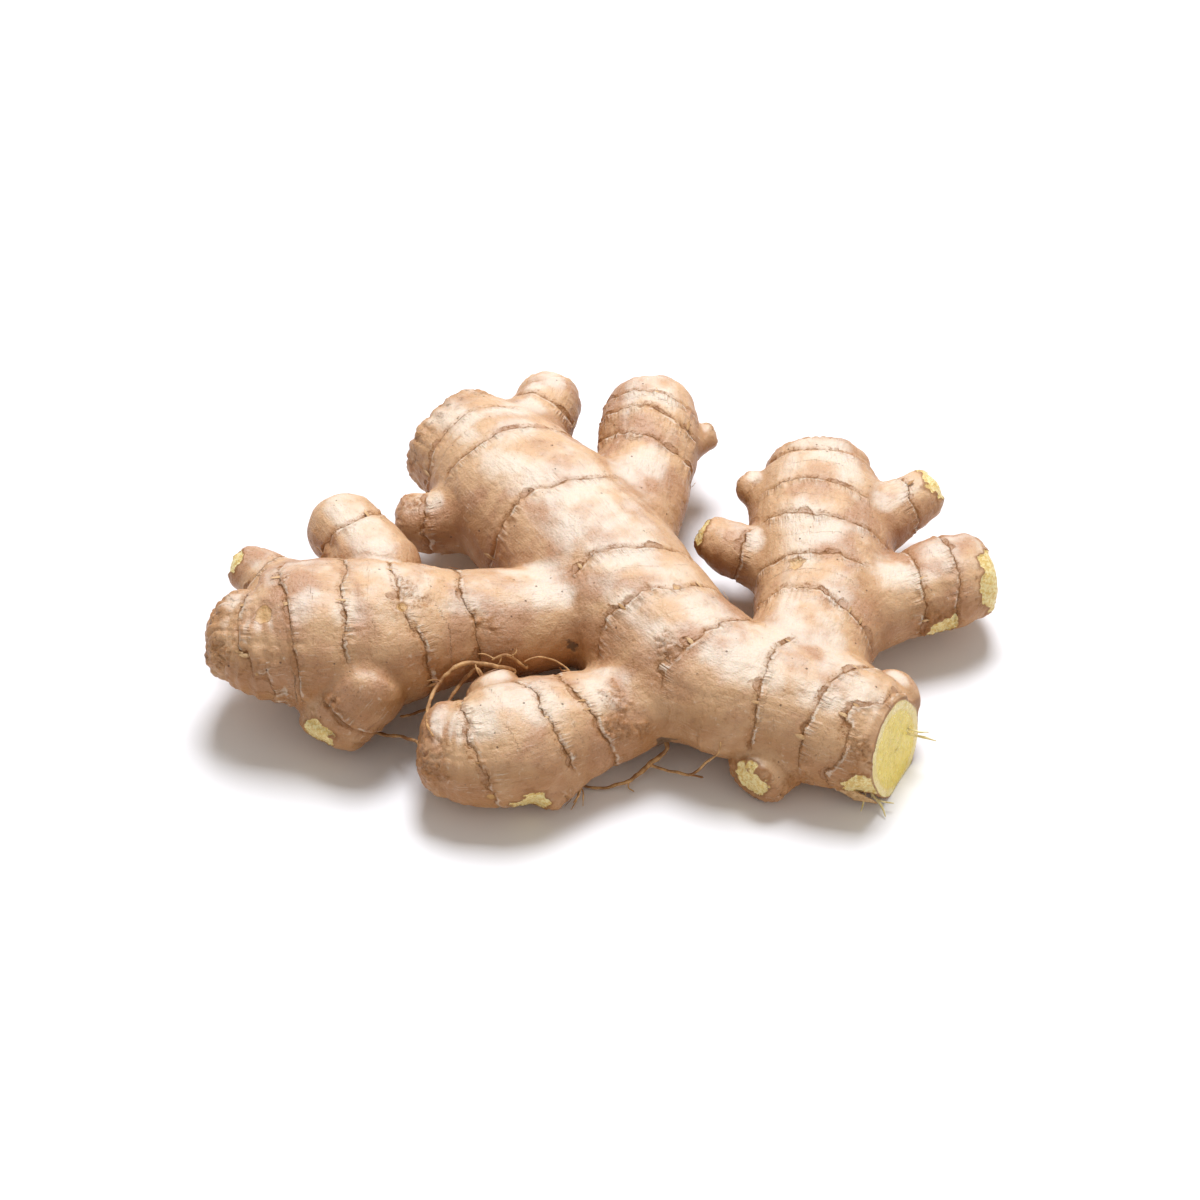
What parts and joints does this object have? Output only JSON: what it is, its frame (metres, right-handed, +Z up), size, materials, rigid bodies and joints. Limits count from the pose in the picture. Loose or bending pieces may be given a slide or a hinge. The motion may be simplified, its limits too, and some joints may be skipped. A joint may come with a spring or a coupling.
{
  "type": "ginger root",
  "caption": "Branched hand of fresh ginger with rounded fingers, ringed tan skin, a pale knife-cut end and thin rootlets, lying flat.",
  "frame": {"origin": "on the table, under the middle of the bounding box", "axes": "+X along the longest extent, towards the cut end; +Z up from the table it lies on, the shortest extent"},
  "size_m": [0.1694, 0.1214, 0.0337],
  "materials": {
    "skin": "satin",
    "rootlet": "matt"
  },
  "bodies": {
    "root": {"rhizome": "skin", "root_arch": "rootlet", "root_dark": "rootlet", "root_cross": "rootlet", "root_bridge": "rootlet", "root_knot": "rootlet", "root_hair": "rootlet", "root_under": "rootlet"}
  },
  "joints": []
}
